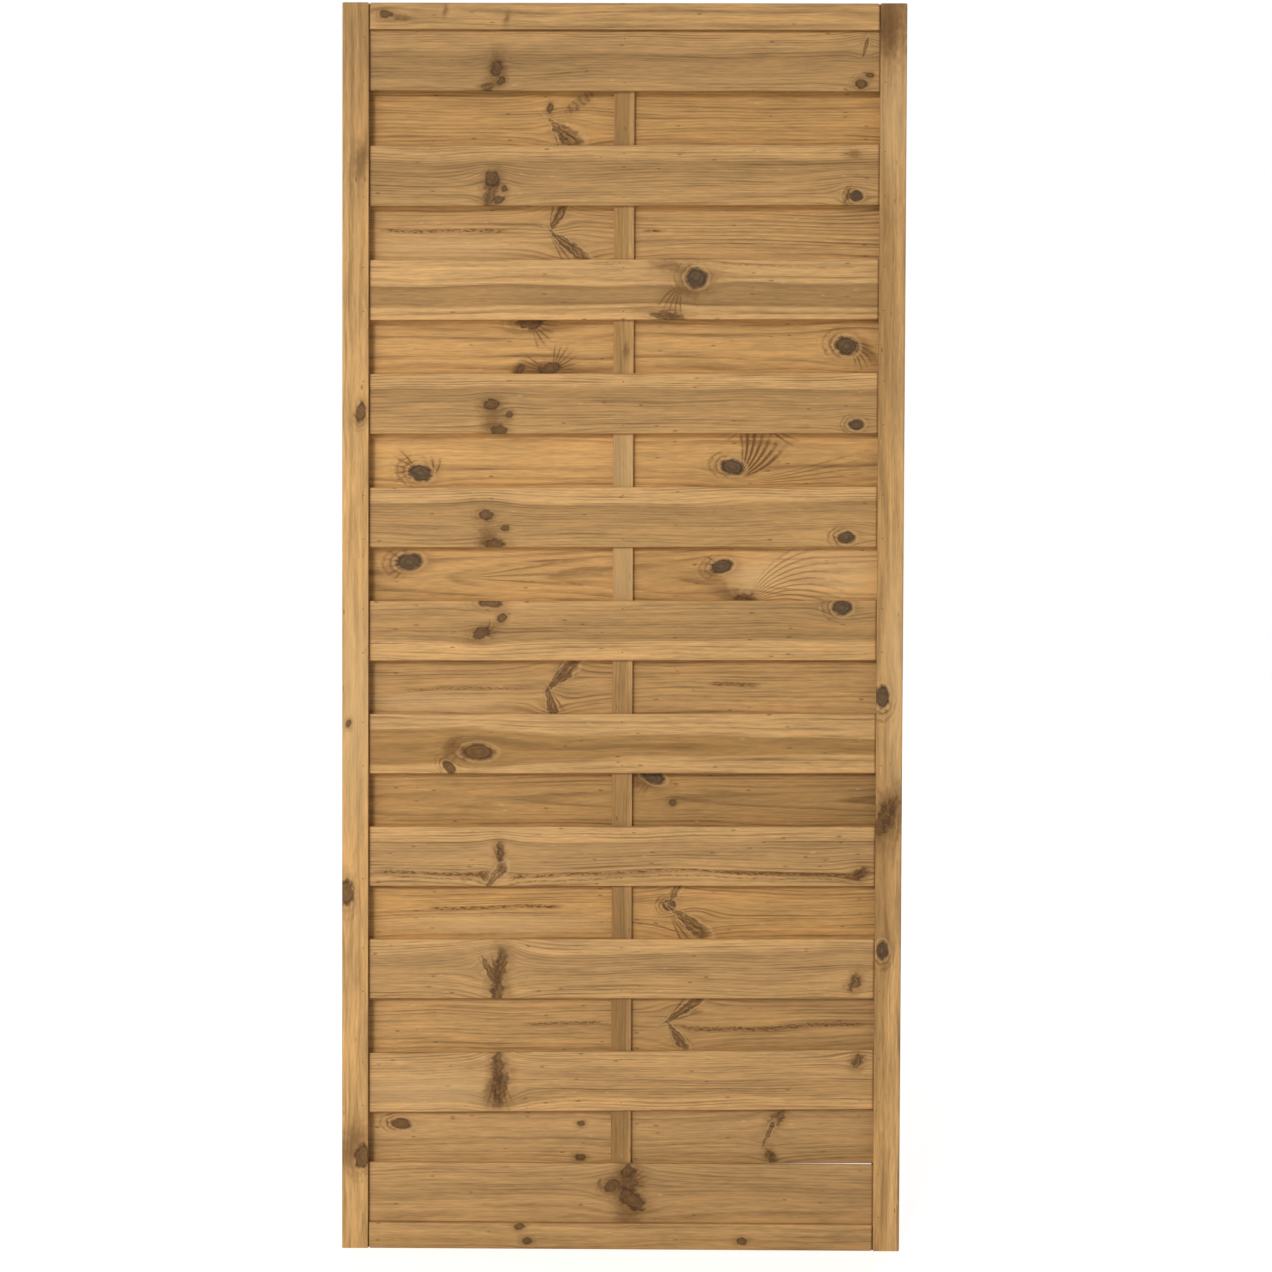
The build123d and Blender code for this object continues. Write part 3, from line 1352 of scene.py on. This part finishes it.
@dataclass
class Studio:
    """White surroundings, soft lamps and the camera.

    Attributes:
        lamps: The lamps, of which the rear one lights the panel's back.
        ambient: Brightness of the surroundings as a light.
        white: What the camera sees of the surroundings.
        floor_size: Side of the floor in metres.
        floor_colour: The pale colour of the floor.
        floor_roughness: Its roughness.
        floor_glow: What the camera sees of the floor beyond its lit colour.
        image_size: Side of the square picture in pixels.
        focal_pixels: Focal length in pixels.
        sensor: Sensor width in millimetres.
        eye: Place of the camera in metres.
        yaw: Its turn to the right in degrees.
        pitch: Its tilt upwards in degrees.
        roll: How far its right side is tipped up, in degrees.
    """

    lamps: tuple[Lamp, ...] = (
        Lamp("sky", LampKind.FAR, (-0.3, -1.0, 0.4), 12.0, 1.25),
        Lamp("rear", LampKind.FAR, (0.35, 1.0, 0.45), 12.0, 1.2),
        Lamp("key", LampKind.NEAR, (-1.15, -1.9, 1.15), 1.5, 13.0, aim=(-0.1, 0.0, 0.95)),
    )
    ambient: float = 0.27
    white: Colour = (1.0, 1.0, 1.0, 1.0)
    floor_size: float = 40.0
    floor_colour: Colour = (0.86, 0.86, 0.86, 1.0)
    floor_roughness: float = 0.9
    floor_glow: float = 0.58
    image_size: int = 1272
    focal_pixels: float = 2483.0
    sensor: float = 36.0
    eye: Place = (0.056, -4.0, 1.1057)
    yaw: float = -0.491
    pitch: float = -1.643
    roll: float = 0.216

    def build(self) -> None:
        """Make the surroundings."""
        bpy.context.scene.view_settings.view_transform = "Standard"
        self._make_world()
        self._make_floor()
        for lamp in self.lamps:
            lamp.hang()
        self._make_camera()

    @staticmethod
    def _seen(nodes: Nodes) -> Signal:
        """Find the rays that come from the camera, straight or through gloss and glass.

        Args:
            nodes: The nodes of a material or of the world.

        Returns:
            One for such rays and zero for all others.
        """
        path = nodes.node("ShaderNodeLightPath", {}, {}, output="Is Camera Ray")
        gloss = nodes.math("MAXIMUM", path.output("Is Glossy Ray"), path.output("Is Transmission Ray"))
        return nodes.math("MAXIMUM", path, gloss)

    def _make_world(self) -> None:
        """Make surroundings that look white and light softly."""
        world = bpy.data.worlds.new("white surroundings")
        world.use_nodes = True
        nodes = Nodes(world.node_tree)
        strength = self.ambient + self._seen(nodes) * (1.0 - self.ambient)
        nodes.fill(world.node_tree.nodes["Background"], {"Color": self.white, "Strength": strength})
        bpy.context.scene.world = world

    def _make_floor(self) -> None:
        """Make a pale floor that looks white and keeps the panel's shadow."""
        half = self.floor_size / 2
        corners = [(-half, -half, 0), (half, -half, 0), (half, half, 0), (-half, half, 0)]
        mesh = bpy.data.meshes.new("floor")
        mesh.from_pydata(corners, [], [(0, 1, 2, 3)])
        material, nodes, shader = new_material("pale floor")
        nodes.fill(shader, {
            "Base Color": self.floor_colour, "Roughness": self.floor_roughness, "Emission Color": self.white,
            "Emission Strength": self._seen(nodes) * self.floor_glow,
        })
        mesh.materials.append(material)
        floor = put("floor", mesh)

    def _make_camera(self) -> None:
        """Put the camera where the picture was taken from."""
        yaw, pitch, roll = (math.radians(angle) for angle in (self.yaw, self.pitch, self.roll))
        forward = Vector((math.sin(yaw) * math.cos(pitch), math.cos(yaw) * math.cos(pitch), math.sin(pitch)))
        level_right = Vector((math.cos(yaw), -math.sin(yaw), 0.0))
        level_up = level_right.cross(forward)
        right = math.cos(roll) * level_right + math.sin(roll) * level_up
        up = right.cross(forward)
        lens = bpy.data.cameras.new("camera")
        lens.sensor_width = self.sensor
        lens.lens = self.sensor * self.focal_pixels / self.image_size
        camera = put("camera", lens)
        axes = Matrix((right, up, -forward)).transposed()
        camera.matrix_world = Matrix.Translation(self.eye) @ axes.to_4x4()
        bpy.context.scene.camera = camera


def front_figures() -> dict[str, Figure]:
    """List what the front slats show, from the top down.

    Returns:
        The figure of each slat, by its solid's name.
    """
    sister = {"pith": (-70, 26), "ring": 4.4}
    top_band = ((-48, 0.45), (8, 0.8), (20, 1), (25, 0.05))
    looks = [
        Figure(
            tone=(0.86, 0.95), zones=((-48, 0.35), (-20, 0.6), (8, 0.9), (12, 0.45), (28, 0.2)), **sister,
            knots=(
                stain(-203, -10, 22, 11, 95), pin(-204, -13, 12, 8, 80), pin(-197, -33, 7, 5, 60),
                smudge(-219, -41, 11, 6, 15), spike(384, 20, 15, 4, 75), pin(378, -36, 9, 7),
                pin(391, -22, 6, 4),
            ),
        ),
        Figure(
            tone=(0.95, 1.05), zones=((-48, 0.4), (-16, 0.6), (18, 0.95), (28, 0.15)), **sister,
            knots=(
                smudge(-214, -28, 22, 9, 70), pin(-211, -5, 12, 11, 80), pin(-191, -21, 5, 5),
                pin(-200, -39, 9, 6, 20), stain(368, 32, 11, 5), round_knot(371, -34, 10, 8),
                smudge(357, -33, 9, 2.5, 70),
            ),
        ),
        Figure(
            tone=(1.1, 0.98), zones=((-48, 0), (-31, 0.05), (-27, 1), (6, 1), (11, 0.05), (40, 0)),
            pith=(-10, 46), ring=5.4,
            knots=(
                stain(73, 36, 26, 8, -4), stain(112, 6, 30, 14, 20), round_knot(116, 18, 15, 14),
                smudge(70, -42, 26, 7, -6),
            ),
            fans=(Fan(98, 8, 56, 216, 30, 5, 24), Fan(44, -40, 52, 0, 28, 5, -20)),
            streaks=(Streak(100, 380, 36, 3, 0.4), Streak(-60, 20, 40, 2.5, 0.5)),
        ),
        Figure(
            tone=(1.03, 1.06), zones=top_band, **sister,
            knots=(
                stain(-209, -26, 20, 13, 85), pin(-211, -1, 12, 8, 5), pin(-183, -18, 6, 5, 30),
                pin(-199, -42, 12, 8, 5), round_knot(373, -34, 11, 8),
            ),
        ),
        Figure(
            tone=(1.0, 1.07), zones=top_band, **sister,
            knots=(
                stain(-218, -30, 15, 12, 90), pin(-220, 4, 11, 7), pin(-189, -17, 6, 5),
                pin(-206, -43, 15, 8, 5), round_knot(358, -33, 13, 9),
            ),
        ),
        Figure(
            tone=(1.1, 1.0), zones=((-48, 0.1), (-20, 0.05), (-14, 0.95), (20, 0.8), (48, 0.55)),
            pith=(66, 26), ring=5.0,
            knots=(
                pin(-213, 44, 17, 7), pin(-194, 20, 8, 6, 60), pin(-227, -4, 14, 8, 25),
                round_knot(352, 37, 14, 11),
            ),
            fans=(Fan(-222, -4, 24, 10, 60, 4, 20, 0.2, 0, 0.6),),
        ),
        Figure(
            tone=(1.0, 0.95), zones=((-48, 0.05), (-38, 0.1), (-32, 1), (17, 1), (22, 0.05)),
            heart=Tint.HEART_BROWN, pith=(-6, 44), ring=5.4, flare=0.9,
            knots=(eye(-232, -13, 24, 12, -3), eye(-278, -38, 12, 7, -40), stain(-274, -6, 14, 8, 60)),
            fans=(Fan(-240, -10, 56, 172, 26, 3, 20, 0.1, 0, 0.5),),
        ),
        Figure(
            tone=(1.02, 0.96), zones=((-48, 0.15), (-30, 0.4), (22, 0.9), (28, 0.1)), heart=Tint.HEART_GREY,
            pith=(-60, 30), ring=5.0, contrast=1.3, specks=1.3,
            knots=(smudge(-196, 4, 19, 6, 95), spike(-203, -32, 22, 9, 50), smudge(384, -27, 12, 8, 40)),
            fans=(Fan(-197, -12, 34, 90, 24, 3),),
            streaks=(
                Streak(-410, -200, -29, 3, 0.9), Streak(-190, 400, -28, 3, 0.9),
                Streak(150, 400, -29, 3.5, 0.9), Streak(-380, 380, -36, 2, 0.6),
            ),
        ),
        Figure(
            tone=(0.98, 0.97), zones=((-48, 0.3), (-10, 0.5), (22, 0.8), (28, 0.1)), heart=Tint.HEART_GREY,
            specks=1.1, **sister,
            knots=(
                spike(-212, -2, 26, 9, -55), smudge(-195, 6, 26, 10, 84), smudge(-200, -36, 17, 11, 80),
                smudge(376, -22, 14, 8, 70),
            ),
            fans=(Fan(-198, -26, 54, 100, 30, 5),),
        ),
        Figure(
            tone=(1.1, 1.0), zones=((-48, 0.1), (-32, 0.1), (-26, 0.8), (10, 0.6), (48, 0.35)),
            heart=Tint.HEART_GREY, specks=1.1, **sister,
            knots=(
                bleach(-300, -12, 110, 26), smudge(-199, 26, 26, 9, 92), smudge(-194, -10, 26, 12, 78),
                stain(-210, -8, 16, 8, 70), smudge(382, 31, 12, 8, 70),
            ),
            fans=(Fan(-199, 20, 66, -88, 26, 5),),
        ),
        Figure(
            tone=(1.09, 0.88), zones=((-48, 0.35), (-30, 0.5), (10, 0.8), (48, 0.5)), heart=Tint.HEART_GREY,
            pith=(-40, 34), ring=5.0, contrast=0.7,
            knots=(
                stain(10, -36, 20, 14, 80), smudge(12, 16, 20, 15, 60), pin(12, 36, 11, 9, 40),
                pin(-14, 12, 12, 8, 30), pin(18, -10, 23, 12, -38),
            ),
            fans=(Fan(14, 16, 34, 20, 45, 5),),
        ),
    ]
    return {f"slat_front_{index:02d}": figure for index, figure in enumerate(looks, start=1)}


def back_figures() -> dict[str, Figure]:
    """List what the back slats show, from the top down.

    Returns:
        The figure of each slat, by its solid's name.
    """
    looks = [
        Figure(
            tone=(0.97, 0.97), zones=((-48, 0.15), (0, 0.3), (40, 0.5)), sap=Tint.SAP_HONEY,
            heart=Tint.HEART_BROWN,
            knots=(pin(-119, 19, 8, 5, 80), feather(-72, 28, 28, 9, 35), spike(-96, -22, 30, 17, -42)),
            fans=(Fan(-118, -6, 60, -48, 26, 4),),
        ),
        Figure(
            tone=(1.0, 1.02), zones=((-48, 0.2), (0, 0.35), (40, 0.5)), heart=Tint.HEART_BROWN, ring=5.8,
            knots=(bleach(-280, -26, 120, 16), spike(-107, 26, 24, 9, 62), spike(-90, -18, 36, 10, -38)),
            fans=(Fan(-122, 4, 66, -44, 22, 4), Fan(-120, 6, 44, 60, 26, 3)),
            streaks=(Streak(-402, -180, 6, 3, 0.9), Streak(20, 75, 4, 2.5, 1)),
        ),
        Figure(
            tone=(1.04, 0.93), zones=((-48, 0.1), (40, 0.25)), sap=Tint.SAP_HONEY, pith=(0, 60), ring=5.8,
            knots=(
                pin(-152, 40, 20, 9), pin(-118, -34, 17, 10, 10), smudge(-168, -36, 10, 6, 60),
                round_knot(358, 2, 17, 13, -14), stain(390, -6, 20, 7, -50),
            ),
            fans=(
                Fan(-150, 40, 46, -28, 50, 6), Fan(-114, -36, 46, 40, 55, 8),
                Fan(-122, -38, 48, 165, 30, 5), Fan(358, 2, 52, -8, 40, 6, -30),
            ),
        ),
        Figure(
            tone=(1.08, 0.92), zones=((-48, 0.1), (40, 0.15)), sap=Tint.SAP_HONEY, pith=(10, 60), ring=5.8,
            knots=(round_knot(-327, -19, 17, 12, -14), round_knot(176, -10, 17, 11, -12)),
            fans=(
                Fan(-330, -14, 44, 165, 46, 5), Fan(-308, -26, 34, 66, 40, 3, 20),
                Fan(184, -28, 98, 38, 34, 7, 24, 0.35, 0.22, 0.85), Fan(213, 74, 88, -38, 20, 5, 14, 0.15),
                Fan(213, 74, 74, 222, 14, 3, -14, 0.05, 0, 0.5),
                Fan(178, -38, 230, 5, 8, 5, 2, 0.05, 0, 0.5),
            ),
        ),
        Figure(
            tone=(0.9, 1.17), zones=((-48, 0.1), (40, 0.2)), sap=Tint.SAP_HONEY, pith=(-5, 50), ring=5.8,
            slant=30.0,
            knots=(
                round_knot(-345, 20, 19, 12, 6), round_knot(159, 12, 16, 10, 14), wash(100, 0, 90, 40),
                stain(178, -36, 30, 10, -26), smudge(196, -42, 18, 9), bleach(320, 0, 120, 50),
                bleach(212, -8, 30, 20, 20),
            ),
            fans=(
                Fan(-346, 18, 42, 185, 50, 5), Fan(-262, -6, 210, 1, 9, 3, 0, 0.1, 0, 0.5),
                Fan(196, -56, 170, 48, 30, 11, -36, 0, 0, 0.5), Fan(160, 12, 34, 190, 50, 4),
            ),
        ),
        Figure(
            tone=(0.95, 0.96), zones=((-48, 0.2), (0, 0.5), (40, 0.6)), heart=Tint.HEART_BROWN, ring=5.8,
            knots=(bleach(-300, -26, 110, 14), spike(-98, 18, 34, 12, 46), spike(-116, -24, 24, 9, -76)),
            fans=(Fan(-122, -6, 66, 48, 22, 4), Fan(-120, -2, 50, -72, 22, 3)),
            streaks=(Streak(-360, -130, -2, 2.5, 0.7), Streak(130, 230, 2, 4, 1)),
        ),
        Figure(
            tone=(0.95, 0.7), zones=((-48, 0.4), (40, 0.5)), sap=Tint.SAP_HONEY, heart=Tint.HEART_BROWN,
            pith=(0, 26), slant=20.0,
            knots=(stain(34, 28, 24, 11, -14), round_knot(50, 36, 18, 9, -20), pin(82, -6, 6, 5)),
            fans=(Fan(62, 40, 48, 200, 24, 4, 16, 0.1, 0, 0.5),),
        ),
        Figure(
            tone=(1.08, 0.98), zones=((-48, 0.4), (40, 0.5)), sap=Tint.SAP_HONEY, heart=Tint.HEART_BROWN,
            knots=(
                bleach(-200, -22, 170, 16), eye(77, 10, 10, 8), spike(86, 32, 18, 9, 60),
                spike(109, -18, 36, 12, -38),
            ),
            fans=(Fan(76, -4, 66, -42, 26, 4),),
            streaks=(Streak(-320, -90, 6, 3.5, 1),),
        ),
        Figure(
            tone=(1.04, 0.82), zones=((-48, 0.35), (40, 0.5)), heart=Tint.HEART_BROWN, ring=5.8,
            knots=(spike(98, 19, 36, 8, 34), spike(90, -21, 26, 8, -56)),
            fans=(Fan(72, 0, 66, 38, 24, 4), Fan(74, -2, 50, -54, 20, 3)),
            streaks=(Streak(-165, -15, 0, 3, 0.9), Streak(75, 404, -6, 4.5, 1)),
        ),
        Figure(
            tone=(1.02, 0.82), zones=((-48, 0.3), (40, 0.45)), heart=Tint.HEART_GREY, pith=(10, 30),
            contrast=0.65,
            knots=(
                eye(-357, 19, 15, 8, -6), pin(-64, 19, 6, 4), pin(-66, -37, 8, 5),
                smudge(254, 28, 15, 9, 50), spike(238, -2, 20, 5, 66), smudge(243, -34, 13, 7, -56),
            ),
        ),
    ]
    return {f"slat_back_{index:02d}": figure for index, figure in enumerate(looks, start=1)}


def frame_figures() -> dict[str, Figure]:
    """List what the stiles, the rails and the batten show.

    Returns:
        The figure of each member, by its solid's name.
    """
    stile = {
        "heart": Tint.HEART_BROWN, "pith": (30, 24), "ring": 6.0, "specks": 0.3, "contrast": 0.55,
        "mottle": 1.7,
    }
    return {
        "stile_left": Figure(
            zones=((-21, 0.1), (21, 0.35)), tone=(1.09, 1.06), **stile,
            knots=(
                stain(749, 9, 24, 9, 10), pin(349, 9, 14, 8, 10), pin(-151, -10, 6, 4),
                pin(-424, -14, 19, 11), stain(-832, -4, 34, 16, 30), pin(-851, 12, 18, 12, 10),
                wash(900, 0, 150, 40), bleach(-120, 0, 160, 30),
            ),
        ),
        "stile_right": Figure(
            zones=((-21, 0.55), (-4, 0.45), (3, 0.05), (21, 0)), tone=(1.0, 1.04), **stile,
            knots=(
                round_knot(-105, -12, 17, 10), stain(-298, -2, 44, 26, 24), smudge(-296, -4, 30, 13, 26),
                wash(520, -8, 150, 20), wash(-420, -6, 90, 22), bleach(820, 4, 100, 30),
                bleach(-60, 8, 170, 20), round_knot(-513, -10, 14, 9), stain(985, -4, 60, 30, 4),
                stain(960, -10, 34, 16, 4),
            ),
        ),
        "rail_top": Figure(
            zones=((-21, 0.25), (21, 0.2)), tone=(0.93, 0.93), **stile,
            knots=(
                pin(-380, 2, 10, 6), stain(-356, -3, 14, 4, -8), stain(-286, 8, 8, 3, 80),
                stain(-187, -4, 8, 4, 70),
            ),
        ),
        "rail_bottom": Figure(
            zones=((-21, 0.5), (-4, 0.4), (4, 0.1), (21, 0.1)), tone=(0.86, 0.86), **stile,
            knots=(pin(-163, 16, 8, 5), pin(-150, -7, 8, 5), pin(197, -6, 8, 5)),
        ),
        "centre_batten": Figure(
            zones=((-16, 0.8), (8, 0.7), (12, 0.1)), heart=Tint.HEART_BROWN, pith=(-40, 20), ring=5.0,
            contrast=0.5, tone=(0.76, 1.02),
            knots=(
                stain(450, 4, 10, 4), wash(860, 0, 170, 40), wash(-560, 0, 190, 40),
                bleach(180, -4, 170, 30),
            ),
        ),
    }


def main() -> None:
    """Build and dress the panel, then set up the studio."""
    logging.basicConfig(level=logging.INFO, format="%(name)s: %(message)s")
    finish = PineFinish(WoodKit())
    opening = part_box("stile_right")[0].x * METRES_TO_MM
    slats = SlatRows(finish).build(front_figures() | back_figures(), opening)
    PanelFrame(finish).dress(frame_figures())
    Fasteners().dress()
    Studio().build()
    log.info("%d slats dressed", len(slats))


if __name__ == "__main__":
    main()
